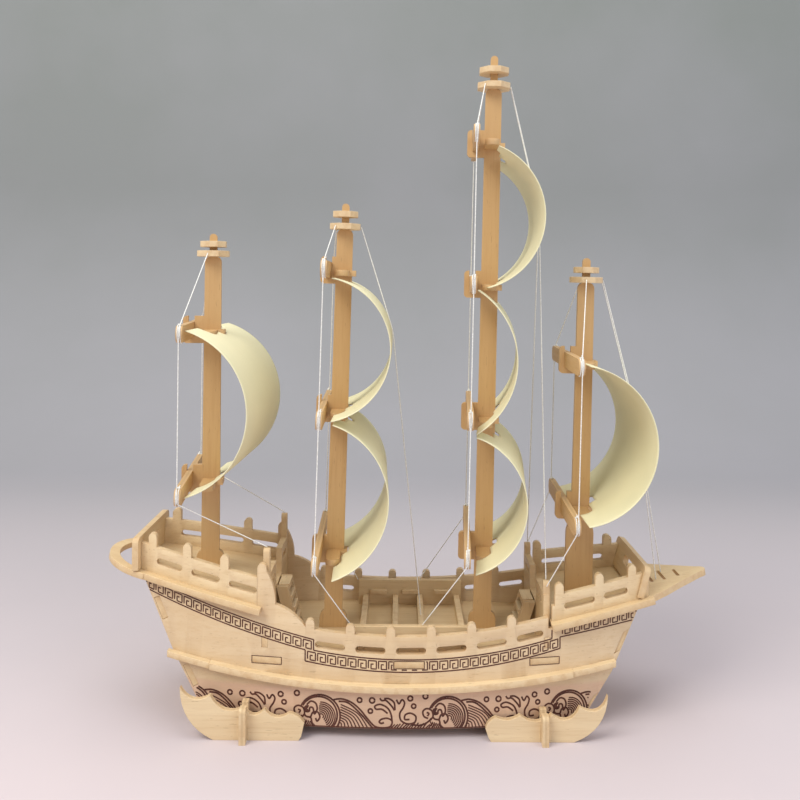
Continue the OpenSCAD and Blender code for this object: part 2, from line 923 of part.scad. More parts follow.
// A thread is a round tube through the points of its path.
module thread(path, side) {
    last = len(path) - 1;
    walls = [for (i = [0 : last - 1], k = [0 : 7], half = [0, 1])
        let (a = 8 * i + k, b = 8 * i + (k + 1) % 8)
        half == 0 ? [a, a + 8, b + 8] : [a, b + 8, b]];
    first_cap = [[for (k = [0 : 7]) k]];
    last_cap = [[for (k = [7 : -1 : 0]) 8 * last + k]];
    polyhedron(
        points = [for (i = [0 : last]) each ring(path[i], heading(path, i), side)],
        faces = concat(walls, first_cap, last_cap));
}

// A point that is fixed to mast i, after the mast's rake and turn.
function on_mast(i, p) =
    let (up = p[2] - mast_foot[i],
        x = p[0] * cos(mast_rake[i]) + up * sin(mast_rake[i]),
        z = up * cos(mast_rake[i]) - p[0] * sin(mast_rake[i]))
    [mast_x[i] + x * cos(mast_turn[i]) - p[1] * sin(mast_turn[i]),
        x * sin(mast_turn[i]) + p[1] * cos(mast_turn[i]),
        mast_foot[i] + z];

// The side line lies round the outer end of each yard on a mast, then runs down to its tie.
wrap_r = spar_h / 2 + 0.45;

// Where each mast's side lines leave the rim of its lower disc, from the mast's middle.
line_x = [-2, -4.8, -4.6, -1.2];

function wrap_mid(i, n) = [yard_half[i][n] - spar_h / 2, spar_z[i][n]];
function wrap(i, n, from, to, side) =
    let (steps = max(1, ceil(abs(from - to) / 20)), mid = wrap_mid(i, n))
    [for (k = [0 : steps]) let (a = from + (to - from) * k / steps)
        on_mast(i, [spar_x[i], side * (mid[0] + wrap_r * cos(a)), mid[1] + wrap_r * sin(a)])];
function side_line(i, side, tie) =
    let (rim = [sqrt(pow(low_disc_d[i] / 2 + 0.4, 2) - pow(line_x[i], 2)), low_disc[i]],
        last = len(spar_z[i]) - 1,
        into = touch(rim, wrap_mid(i, 0), wrap_r, 1),
        out = touch([tie[1], tie[2]], wrap_mid(i, last), wrap_r, -1))
    concat(
        [on_mast(i, [line_x[i], side * rim[0], rim[1]])],
        [for (n = [0 : last]) each wrap(i, n, n == 0 ? into : 8, n == last ? out : 0, side)],
        [[tie[0], side * tie[1], tie[2]]]);

// Where a line from p first touches, and from q last touches, a circle in X and Z.
function touch(p, mid, r, way) =
    let (d = p - mid) atan2(d[1], d[0]) - way * acos(r / norm(d));

// A stay from the lower disc over the front of a sail to its tie.
function stay(s, y, tie) =
    let (i = s[0],
        m = sail_mid(s),
        mid = [sail_x(s) + m[0] * cos(s[7]) + m[1] * sin(s[7]), s[2] + m[1] * cos(s[7]) - m[0] * sin(s[7])],
        r = sail_r(s) + 0.8,
        start = on_mast(i, [low_disc_d[i] / 2 + 0.5, 0, low_disc[i]]),
        top = [start[0], start[2]],
        a = touch(top, mid, r, 1),
        b = touch([tie[0], tie[2]], mid, r, -1),
        steps = max(1, ceil((a - b) / 6)))
    concat([[top[0], y, top[1]]],
        [for (k = [0 : steps]) let (t = a + (b - a) * k / steps) [mid[0] + r * cos(t), y, mid[1] + r * sin(t)]],
        [tie]);

module rigging(i, tie) {
    for (side = [-1, 1])
        thread(side_line(i, side, tie), [1, 0, 0]);
}

module mizzen_rigging() {
    color(thread_colour)
        rigging(MIZZEN, [poop_wall_x + 1.5, 31.4, 86.9]);
}
module second_rigging() {
    color(thread_colour) {
        rigging(SECOND, [-27.6, 32.3, deck_top + 13]);
        thread(stay(SECOND_UPPER, 0, [6.5, 0, deck_top + 6.1]), [0, 1, 0]);
    }
}
module main_rigging() {
    color(thread_colour) {
        rigging(MAIN, [6.5, 32.3, deck_top + 13.8]);
        for (side = [-1, 1])
            thread(stay(MAIN_UPPER, side * 0.8, [fore_wall_x + 1.5, side * 30.4, 71.9]), [0, 1, 0]);
    }
}
module fore_rigging() {
    color(thread_colour) {
        rigging(FORE, [fore_wall_x + 1.5, 33, 69.4]);
        thread(stay(FORE_SAIL, 1.5, [131.4, 3.5, fore_top(131.4) + 0.3]), [0, 1, 0]);
        thread(stay(FORE_SAIL, -1.5, [126.4, -5, fore_top(126.4) + 0.3]), [0, 1, 0]);
    }
}

// ---------- Stands ----------

// Crests of each wave plate from its horn to its low end, and the sag of each hollow between.
aft_crests = [[-107.2, 24.6], [-93, 20.8], [-77.1, 15], [-67.6, 14.6], [-56, 12.6], [-48.8, 8.2]];
aft_sags = [3.8, 3.9, 3, 2.8, -0.9];
aft_cross_x = -77.1;
fore_crests = [[93.1, 22], [79.9, 16.4], [66.8, 12.9], [52, 12.4], [40.8, 11.3], [35.9, 6.2]];
fore_sags = [-4.6, -4.2, -3.1, -1.6, 0.9];
fore_cross_x = 63.4;
stand_joint_z = 7;

// way is 1 for a plate with its horn aft and -1 for one with its horn forward.
module waves_2d(crests, sags, way, cross_x) {
    horn = crests[0];
    heel = [horn[0] + way * 15.8, 0];
    low = crests[5];
    toe = [low[0] - way * 1.4, 2];
    difference() {
        polygon(concat(
            curve(heel, horn, way * 4.6),
            [for (i = [0 : 4]) each curve(crests[i], crests[i + 1], -sags[i])],
            [low, toe, [toe[0] - way * 1.2, 0]]));
        translate([cross_x - ply / 2 - play, -1])
            square([ply + 2 * play, 1 + stand_joint_z]);
    }
}

module waves(crests, sags, way, cross_x) {
    color(cream)
        for (side = [-1, 1])
            side_plate(side > 0 ? wave_y : -wave_y - ply, side > 0 ? wave_y + ply : -wave_y)
                waves_2d(crests, sags, way, cross_x);
}

// The cross plate has a cradle for the hull and a rounded ear outside each wave plate.
module stand_cross(x, high) {
    out = wave_y + ply + cross_out;
    cradle = beam(x) + 0.6;
    color(cream)
        cross_plate(x - ply / 2, x + ply / 2)
            difference() {
                union() {
                    translate([-out, 0])
                        square([2 * out, high - 2.2]);
                    bar_2d([-out + 2.2, high - 2.2], [out - 2.2, high - 2.2], 4.4);
                }
                translate([-cradle, hull_z])
                    square([2 * cradle, far]);
                for (side = [-1, 1])
                    translate([side * (wave_y + ply / 2) - ply / 2 - play, stand_joint_z])
                        square([ply + 2 * play, far]);
            }
}

module aft_stand_waves() { waves(aft_crests, aft_sags, 1, aft_cross_x); }
module aft_stand_cross() { stand_cross(aft_cross_x, 16.5); }
module fore_stand_waves() { waves(fore_crests, fore_sags, -1, fore_cross_x); }
module fore_stand_cross() { stand_cross(fore_cross_x, 13.8); }

// ---------- Nodes ----------

hull_side_starboard();
hull_side_port();
keel_spine();
bottom_plate();
bulkheads();
stern_plates();
bow_plates();
main_deck();
poop_deck();
fore_deck();
poop_rail_starboard();
poop_rail_port();
stern_rail();
poop_break_wall();
fore_rail_starboard();
fore_rail_port();
bow_rail();
fore_break_wall();
poop_stair_stringers();
poop_stair_treads();
fore_stair_stringers();
fore_stair_treads();
hatch_sides();
hatch_cross_plates();
hatch_ledges();
strake_starboard();
strake_port();
strake_ends_starboard();
strake_ends_port();
mizzen_mast();
second_mast();
main_mast();
fore_mast();
mizzen_discs();
second_discs();
main_discs();
fore_discs();
mizzen_spars();
second_spars();
main_spars();
fore_spars();
mizzen_crosstrees();
second_crosstrees();
main_crosstrees();
fore_crosstrees();
mizzen_sail();
second_upper_sail();
second_lower_sail();
main_upper_sail();
main_middle_sail();
main_lower_sail();
fore_sail();
mizzen_rigging();
second_rigging();
main_rigging();
fore_rigging();
aft_stand_waves();
aft_stand_cross();
fore_stand_waves();
fore_stand_cross();
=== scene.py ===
"""Looks for the plywood sailing ship: wood grain, burnt decoration, paper sails and thread."""

import math
import random

import bmesh
import bpy
from mathutils import Matrix, Vector


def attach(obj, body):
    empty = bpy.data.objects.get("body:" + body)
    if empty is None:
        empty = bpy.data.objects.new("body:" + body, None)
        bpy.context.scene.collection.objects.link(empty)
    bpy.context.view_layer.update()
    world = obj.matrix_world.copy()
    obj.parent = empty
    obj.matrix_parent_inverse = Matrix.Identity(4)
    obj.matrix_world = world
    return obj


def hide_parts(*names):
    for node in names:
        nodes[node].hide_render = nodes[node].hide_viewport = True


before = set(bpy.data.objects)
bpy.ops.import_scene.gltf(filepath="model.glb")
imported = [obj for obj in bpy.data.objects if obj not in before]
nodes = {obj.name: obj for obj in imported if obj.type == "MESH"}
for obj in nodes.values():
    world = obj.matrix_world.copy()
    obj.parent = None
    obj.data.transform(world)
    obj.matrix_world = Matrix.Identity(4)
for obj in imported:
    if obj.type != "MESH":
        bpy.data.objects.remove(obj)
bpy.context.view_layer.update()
scene = bpy.context.scene
MM = 0.001
SHIP = "ship"

# ---------------------------------------------------------------- camera

cam_data = bpy.data.cameras.new("camera")
cam_data.lens = 38.8
cam_data.sensor_width = 36.0
cam_data.shift_y = -0.1476  # the camera is level, and its picture is shifted down
cam = bpy.data.objects.new("camera", cam_data)
scene.collection.objects.link(cam)
cam.matrix_world = (
    Matrix.Translation(Vector((-5.5, -446.0, 214.7)) * MM)
    @ Matrix.Rotation(math.radians(90.0), 4, "X")
    @ Matrix.Rotation(math.radians(0.4), 4, "Z")
)
scene.camera = cam

# ---------------------------------------------------------------- materials


class Tree:
    """A node tree with short calls for the few nodes that the materials use."""

    def __init__(self, name):
        self.mat = bpy.data.materials.new(name)
        self.mat.use_nodes = True
        self.tree = self.mat.node_tree
        self.shader = self.tree.nodes["Principled BSDF"]
        self.coords = self.tree.nodes.new("ShaderNodeTexCoord")

    def link(self, a, b):
        self.tree.links.new(a, b)

    def plug(self, socket, value):
        if isinstance(value, bpy.types.NodeSocket):
            self.link(value, socket)
        elif isinstance(value, (tuple, list)) and len(value) == 3 and len(socket.default_value) == 4:
            socket.default_value = (*value, 1.0)
        else:
            socket.default_value = value

    def math(self, op, a, b=0.0, c=0.0, clamp=False):
        n = self.tree.nodes.new("ShaderNodeMath")
        n.operation = op
        n.use_clamp = clamp
        for i, v in enumerate((a, b, c)):
            self.plug(n.inputs[i], v)
        return n.outputs[0]

    def vector(self, op, a, b=(0.0, 0.0, 0.0)):
        n = self.tree.nodes.new("ShaderNodeVectorMath")
        n.operation = op
        self.plug(n.inputs[0], a)
        self.plug(n.inputs[1], b)
        return n.outputs["Value" if op in ("LENGTH", "DOT_PRODUCT") else "Vector"]

    def mapping(self, vector, scale=(1, 1, 1), turn=(0, 0, 0), move=(0, 0, 0)):
        n = self.tree.nodes.new("ShaderNodeMapping")
        self.link(vector, n.inputs["Vector"])
        n.inputs["Scale"].default_value = scale
        n.inputs["Rotation"].default_value = turn
        n.inputs["Location"].default_value = move
        return n.outputs[0]

    def noise(self, vector, scale, detail=3.0, rough=0.55):
        n = self.tree.nodes.new("ShaderNodeTexNoise")
        self.link(vector, n.inputs["Vector"])
        n.inputs["Scale"].default_value = scale
        n.inputs["Detail"].default_value = detail
        n.inputs["Roughness"].default_value = rough
        return n.outputs["Fac"]

    def band(self, value, low, high, to_low=0.0, to_high=1.0):
        n = self.tree.nodes.new("ShaderNodeMapRange")
        self.plug(n.inputs["Value"], value)
        n.inputs["From Min"].default_value = low
        n.inputs["From Max"].default_value = high
        n.inputs["To Min"].default_value = to_low
        n.inputs["To Max"].default_value = to_high
        return n.outputs["Result"]

    def mix(self, fac, a, b):
        n = self.tree.nodes.new("ShaderNodeMix")
        n.data_type = "RGBA"
        self.plug(n.inputs["Factor"], fac)
        self.plug(n.inputs["A"], a)
        self.plug(n.inputs["B"], b)
        return n.outputs["Result"]

    def bump(self, height, depth, strength=1.0):
        n = self.tree.nodes.new("ShaderNodeBump")
        n.inputs["Strength"].default_value = strength
        n.inputs["Distance"].default_value = depth
        self.plug(n.inputs["Height"], height)
        self.link(n.outputs[0], self.shader.inputs["Normal"])


def split(t, vector):
    n = t.tree.nodes.new("ShaderNodeSeparateXYZ")
    t.link(vector, n.inputs[0])
    return n.outputs


PALE = (0.72, 0.55, 0.325)
PALE_DARK = (0.57, 0.385, 0.205)
CREAM = (0.79, 0.625, 0.39)
HULL = (0.71, 0.545, 0.345)
TAN = (0.59, 0.38, 0.175)
TAN_DARK = (0.48, 0.275, 0.11)
EDGE = (0.61, 0.41, 0.215)


DECK_TOP = 36.5
# each mast's station, turn, rake and foot, and how far its spars are behind it
MASTS = {
    "mizzen": (-102.6, 6.0, 0.2, 67.0, -10.7),
    "second": (-39.0, 1.5, 1.4, DECK_TOP, -7.8),
    "main": (37.9, -3.8, 0.9, DECK_TOP, -8.8),
    "fore": (87.6, -2.0, 1.1, 56.7, -8.6),
}


def mast_frame(mast):
    x, turn, rake, foot, _ = MASTS[mast]
    return (
        Matrix.Translation((x, 0, foot))
        @ Matrix.Rotation(math.radians(turn), 4, "Z")
        @ Matrix.Rotation(math.radians(rake), 4, "Y")
        @ Matrix.Translation((0, 0, -foot))
    )


def wood(name, light, dark, grain="X", face="Y", plies=None, mast=None, smoked=False, seed=0.0):
    """Plywood. grain is the way the fibres run and face the axis through the sheet, in the
    piece's own frame, which is the ship's or its mast's. plies is the distance of the sheet's
    middle from the frame's middle plane, on either side. A smoked plate is darkened and toned
    pinker below the strakes, partly by the burning of its decoration and partly by painted
    shade from the strakes above."""
    t = Tree(name)
    x, turn, rake, foot, _ = MASTS[mast] if mast else (0, 0, 0, 0, 0)
    local = t.mapping(t.coords.outputs["Object"], move=(-x * MM, 0, -foot * MM))
    local = t.mapping(local, turn=(0, 0, math.radians(-turn)))
    local = t.mapping(local, turn=(0, math.radians(-rake), 0))
    shifted = t.mapping(local, move=(seed * 0.37, seed * 0.11, seed * 0.23))
    stretch = {"X": (0.045, 1, 1), "Y": (1, 0.045, 1), "Z": (1, 1, 0.045)}[grain]
    along = t.mapping(shifted, scale=stretch)
    streaks = t.noise(along, 900.0, 4.0, 0.6)
    broad = t.noise(along, 170.0, 3.0, 0.5)
    patches = t.noise(shifted, 22.0, 2.0, 0.5)
    short = tuple(s if s == 1 else 0.12 for s in stretch)
    pores = t.noise(t.mapping(shifted, scale=short), 1500.0, 2.0)
    between = tuple(0.55 * a + 0.45 * b for a, b in zip(light, dark))
    warm = tuple(c * f for c, f in zip(light, (0.93, 0.86, 0.74)))
    colour = t.mix(t.band(broad, 0.32, 0.72), light, between)
    colour = t.mix(t.band(streaks, 0.50, 0.78, 0.0, 0.55), colour, dark)
    colour = t.mix(t.band(patches, 0.35, 0.75, 0.0, 0.35), colour, warm)
    colour = t.mix(t.band(pores, 0.66, 0.74, 0.0, 0.45), colour, tuple(c * 0.62 for c in dark))
    # cut edges: end grain, with the middle ply darker and a little scorching
    normal = t.coords.outputs["Normal"]
    axis = {"X": (1.0, 0.0, 0.0), "Y": (0.0, 1.0, 0.0), "Z": (0.0, 0.0, 1.0)}[face]
    a = math.radians(turn)
    if face != "Z":
        axis = (
            axis[0] * math.cos(a) - axis[1] * math.sin(a),
            axis[0] * math.sin(a) + axis[1] * math.cos(a),
            0.0,
        )
    facing = t.math("ABSOLUTE", t.vector("DOT_PRODUCT", normal, axis))
    edge = t.band(facing, 0.80, 0.45)
    scorch = t.band(t.noise(shifted, 260.0, 3.0), 0.42, 0.66)
    edge_colour = t.mix(scorch, tuple(0.6 * a + 0.4 * b for a, b in zip(light, EDGE)), EDGE)
    if plies is not None:
        depth = split(t, local)["XYZ".index(face)]
        off = t.math("ABSOLUTE", t.math("SUBTRACT", t.math("ABSOLUTE", depth), plies * MM))
        middle = t.band(off, 0.62 * MM, 0.5 * MM)
        edge_colour = t.mix(t.math("MULTIPLY", middle, 0.5), edge_colour, tuple(c * 0.72 for c in EDGE))
    colour = t.mix(t.math("MULTIPLY", edge, 0.75), colour, edge_colour)
    # below the strakes: partly smoke of the burnt decoration, partly painted shade from the strakes
    if smoked:
        height = split(t, local)[2]
        below = t.band(height, 24.0 * MM, 22.0 * MM)
        smoke_and_shade = t.math("MULTIPLY", below, t.band(patches, 0.2, 0.8, 0.45, 0.75))
        colour = t.mix(smoke_and_shade, colour, (0.66, 0.42, 0.30))
    t.plug(t.shader.inputs["Base Color"], colour)
    t.plug(t.shader.inputs["Roughness"], t.band(streaks, 0.3, 0.8, 0.46, 0.64))
    t.shader.inputs["Specular IOR Level"].default_value = 0.35
    t.bump(t.math("ADD", streaks, t.math("MULTIPLY", pores, -0.6)), 0.00012, 0.5)
    return t.mat


def ink_material():
    t = Tree("burnt_line")
    tone = t.noise(t.coords.outputs["Object"], 700.0, 3.0)
    colour = t.mix(t.band(tone, 0.35, 0.7), (0.060, 0.016, 0.009), (0.12, 0.036, 0.020))
    t.plug(t.shader.inputs["Base Color"], colour)
    t.shader.inputs["Roughness"].default_value = 0.75
    t.bump(tone, 0.00005, 0.4)
    return t.mat


def paper_material():
    t = Tree("sail_paper")
    obj = t.coords.outputs["Object"]
    fibre = t.noise(t.mapping(obj, scale=(1, 0.25, 1)), 1600.0, 4.0, 0.65)
    clouds = t.noise(obj, 30.0, 3.0)
    colour = t.mix(t.band(clouds, 0.3, 0.75), (0.82, 0.765, 0.50), (0.77, 0.725, 0.47))
    colour = t.mix(t.band(fibre, 0.55, 0.8, 0.0, 0.35), colour, (0.88, 0.84, 0.58))
    t.plug(t.shader.inputs["Base Color"], colour)
    t.plug(t.shader.inputs["Roughness"], t.band(fibre, 0.3, 0.8, 0.62, 0.78))
    t.shader.inputs["Specular IOR Level"].default_value = 0.3
    t.bump(t.math("ADD", fibre, t.math("MULTIPLY", clouds, 2.0)), 0.00006, 0.5)
    return t.mat


def thread_material():
    t = Tree("white_thread")
    obj = t.coords.outputs["Object"]
    lay = t.noise(t.mapping(obj, turn=(0.6, 0.5, 0.4), scale=(1, 1, 0.3)), 4200.0, 2.0)
    fuzz = t.noise(obj, 2600.0, 3.0)
    colour = t.mix(t.band(lay, 0.42, 0.6), (0.70, 0.685, 0.63), (0.93, 0.92, 0.87))
    t.plug(t.shader.inputs["Base Color"], colour)
    t.shader.inputs["Roughness"].default_value = 0.85
    t.shader.inputs["Sheen Weight"].default_value = 0.3
    t.bump(t.math("ADD", lay, fuzz), 0.00008, 0.8)
    return t.mat


ink = ink_material()
paper = paper_material()
thread = thread_material()

looks = {}


def look(names, *args, **kwargs):
    for name in names:
        looks[name] = wood("wood_" + name, *args, seed=len(looks) * 1.7 + 1.0, **kwargs)


look(["hull_side_starboard", "hull_side_port"], HULL, PALE_DARK, grain="X", face="Y", smoked=True)
look(["keel_spine"], PALE, PALE_DARK, grain="X", face="Y", plies=0.0)
look(["bottom_plate", "main_deck", "poop_deck", "fore_deck"], PALE, PALE_DARK, grain="X", face="Z")
look(["bulkheads", "stern_plates", "bow_plates"], PALE, PALE_DARK, grain="Y", face="X")
look(["poop_rail_starboard", "poop_rail_port", "fore_rail_starboard", "fore_rail_port"],
     CREAM, PALE_DARK, face="Y")
look(["stern_rail", "bow_rail", "poop_break_wall", "fore_break_wall"],
     PALE, PALE_DARK, grain="Y", face="X")
look(["poop_stair_stringers", "fore_stair_stringers"], PALE, PALE_DARK, grain="Z", face="Y", plies=8.0)
look(["poop_stair_treads", "fore_stair_treads"], CREAM, PALE_DARK, grain="Y", face="Z")
look(["hatch_sides"], PALE, PALE_DARK, grain="X", face="Y", plies=32.3)
look(["hatch_cross_plates"], CREAM, PALE_DARK, grain="Y", face="X")
look(["hatch_ledges"], CREAM, PALE_DARK, grain="X", face="Z")
look(["strake_starboard", "strake_port", "strake_ends_starboard", "strake_ends_port"],
     CREAM, PALE_DARK, face="Z")
look(["aft_stand_waves", "fore_stand_waves"], CREAM, PALE_DARK, grain="X", face="Y", plies=41.7)
look(["aft_stand_cross"], CREAM, PALE_DARK, grain="Y", face="X", plies=77.1)
look(["fore_stand_cross"], CREAM, PALE_DARK, grain="Y", face="X", plies=63.4)
for mast, (_, _, _, _, spar_x) in MASTS.items():
    look([mast + "_mast"], TAN, TAN_DARK, grain="Z", face="Y", plies=0.0, mast=mast)
    look([mast + "_spars"], TAN, TAN_DARK, grain="Y", face="X", plies=-spar_x, mast=mast)
    look([mast + "_discs"], CREAM, PALE_DARK, grain="X", face="Z", mast=mast)
    look([mast + "_crosstrees"], TAN, TAN_DARK, grain="Y", face="Z", mast=mast)


def soften(obj, width=0.22):
    """A cut edge is a little worn: joins the imported faces and rounds the corners."""
    weld = obj.modifiers.new("weld", "WELD")
    weld.merge_threshold = 0.00001
    bevel = obj.modifiers.new("bevel", "BEVEL")
    bevel.width = width * MM
    bevel.segments = 2
    bevel.limit_method = "ANGLE"
    bevel.angle_limit = math.radians(35)
    bevel.harden_normals = True


for name, obj in nodes.items():
    if name in looks:
        obj.data.materials.clear()
        obj.data.materials.append(looks[name])
        soften(obj)

# ---------------------------------------------------------------- burnt decoration on the hull


def beam(x):
    """Half width of the hull's side at a station."""
    return 41.7 - 435.0 + math.sqrt(435.0 ** 2 - (x + 5.0) ** 2)


def refine(points, step=0.7):
    out = [points[0]]
    for a, b in zip(points, points[1:]):
        n = max(1, math.ceil(math.dist(a, b) / step))
        out += [(a[0] + (b[0] - a[0]) * i / n, a[1] + (b[1] - a[1]) * i / n) for i in range(1, n + 1)]
    return out


def clip(points, keep):
    runs, run = [], []
    for p in points:
        if keep(*p):
            run.append(p)
        elif run:
            runs.append(run)
            run = []
    if run:
        runs.append(run)
    return [r for r in runs if len(r) > 1]


# stations of the tabs that come through the side plates, and slots of the raked end plates
TAB_X = (-67.5, 0.0, 64.5)
END_SLOTS = (
    ((-126.0, 59.9), (-121.1, 49.7)),
    ((-106.9, 25.7), (-103.5, 19.0)),
    ((107.1, 47.1), (101.3, 37.6)),
    ((91.4, 21.0), (87.7, 13.2)),
)


def on_hull_side(x, z):
    """Inside the side plate's outline, and off the tabs that come through it."""
    aft = -130.0 + (69.2 - z) * (14.7 / 31.5) if z > 37.7 else -115.3 + (37.7 - z) * (18.3 / 32.7)
    fore = 112.3 - (57.2 - z) * (14.0 / 29.7) if z > 27.5 else 98.3 - (27.5 - z) * (15.3 / 22.5)
    if not aft + 0.5 < x < fore - 0.5 or z < 5.3:
        return False
    for tab in TAB_X:
        if abs(x - tab) < 7.4 and 33.1 < z < 36.9:
            return False
    for p, q in END_SLOTS:
        t = ((x - p[0]) * (q[0] - p[0]) + (z - p[1]) * (q[1] - p[1])) / (math.dist(p, q) ** 2)
        nearest = (p[0] + t * (q[0] - p[0]), p[1] + t * (q[1] - p[1]))
        if -0.1 < t < 1.1 and math.dist((x, z), nearest) < 2.2:
            return False
    return True


def ribbon(bm, points, width, side, lift=0.07, sink=0.08):
    """A closed strip that lies in the hull's outer face."""
    n = len(points)
    rows = []
    for i, p in enumerate(points):
        a = points[max(i - 1, 0)]
        b = points[min(i + 1, n - 1)]
        d = Vector((b[0] - a[0], b[1] - a[1]))
        if d.length < 1e-6:
            continue
        d.normalize()
        half = width / 2
        row = []
        for s, depth in ((-1, lift), (1, lift), (1, -sink), (-1, -sink)):
            x = p[0] - d.y * half * s
            z = p[1] + d.x * half * s
            row.append(bm.verts.new((x * MM, side * (beam(x) + depth) * MM, z * MM)))
        rows.append(row)
    for r, q in zip(rows, rows[1:]):
        for k in range(4):
            bm.faces.new((r[k], r[(k + 1) % 4], q[(k + 1) % 4], q[k]))
    bm.faces.new(rows[0][::-1])
    bm.faces.new(rows[-1])


def finish_piece(name, bm, material, body=SHIP, smooth=False, closed=True):
    if closed:
        bmesh.ops.recalc_face_normals(bm, faces=bm.faces)
    mesh = bpy.data.meshes.new(name)
    bm.to_mesh(mesh)
    bm.free()
    obj = bpy.data.objects.new(name, mesh)
    scene.collection.objects.link(obj)
    mesh.materials.append(material)
    for poly in mesh.polygons:
        poly.use_smooth = smooth
    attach(obj, body)
    return obj


# one key of the fret, in shares of its pitch and its height
FRET_UNIT = ((0.0, 0.05), (0.0, 1.0), (0.80, 1.0), (0.80, 0.0), (0.27, 0.0), (0.27, 0.58), (0.52, 0.58))


def fret(bottom, x0, x1, pitch=4.85, gap=1.05, tall=3.75):
    count = round((x1 - x0) / pitch)
    pitch = (x1 - x0) / count
    strokes = []
    for i in range(count):
        start = x0 + i * pitch + 0.55
        strokes.append([
            (start + u * pitch * 0.98, bottom(start + u * pitch) + gap + v * tall)
            for u, v in FRET_UNIT])
    return strokes


def line(f, x0, x1, n=60):
    return [(x0 + (x1 - x0) * i / n, f(x0 + (x1 - x0) * i / n)) for i in range(n + 1)]


def aft_line(x):
    return 32.2 - 0.1365 * x + 0.000867 * x * x


def mid_line(x):
    return 31.6 + 0.00172 * x * x


def bow_line(x):
    return 45.5 + 0.1425 * (x - 69.0)


TALL = 5.85  # height of the fret bands


def fret_strokes():
    out = [
        line(aft_line, -129.5, -49.0),
        line(lambda x: aft_line(x) + TALL, -129.5, -45.0),
        [(-45.0, aft_line(-45.0) + TALL), (-45.0, mid_line(-45.0) + TALL)],
        [(-49.0, aft_line(-49.0)), (-49.0, mid_line(-49.0))],
        line(mid_line, -49.0, 72.0),
        line(lambda x: mid_line(x) + TALL, -45.0, 68.0),
        [(72.0, mid_line(72.0)), (72.0, bow_line(72.0))],
        [(68.0, mid_line(68.0) + TALL), (68.0, 49.6)],
        line(bow_line, 72.0, 110.5),
    ]
    out += fret(aft_line, -129.0, -45.6) + fret(mid_line, -48.4, 71.4) + fret(bow_line, 72.6, 111.0)
    return out


def arc(cx, cz, r, a0, a1, r1=None):
    n = max(4, math.ceil(abs(a1 - a0) / 9.0))
    pts = []
    for i in range(n + 1):
        a = math.radians(a0 + (a1 - a0) * i / n)
        rr = r + ((r1 if r1 is not None else r) - r) * i / n
        pts.append((cx + rr * math.cos(a), cz + rr * math.sin(a)))
    return pts


def smooth(points, n=8):
    """A curve through the points."""
    pts = [points[0]] + list(points) + [points[-1]]
    out = []
    for i in range(1, len(pts) - 2):
        p0, p1, p2, p3 = (Vector(p) for p in pts[i - 1:i + 3])
        for k in range(n):
            t = k / n
            square = (2 * p0 - 5 * p1 + 4 * p2 - p3) * t * t
            cube = (3 * p1 - p0 - 3 * p2 + p3) * t ** 3
            out.append(tuple(0.5 * ((2 * p1) + (p2 - p0) * t + square + cube)))
    out.append(tuple(points[-1]))
    return out


BOLD, FINE = 0.82, 0.58  # widths of the burnt strokes


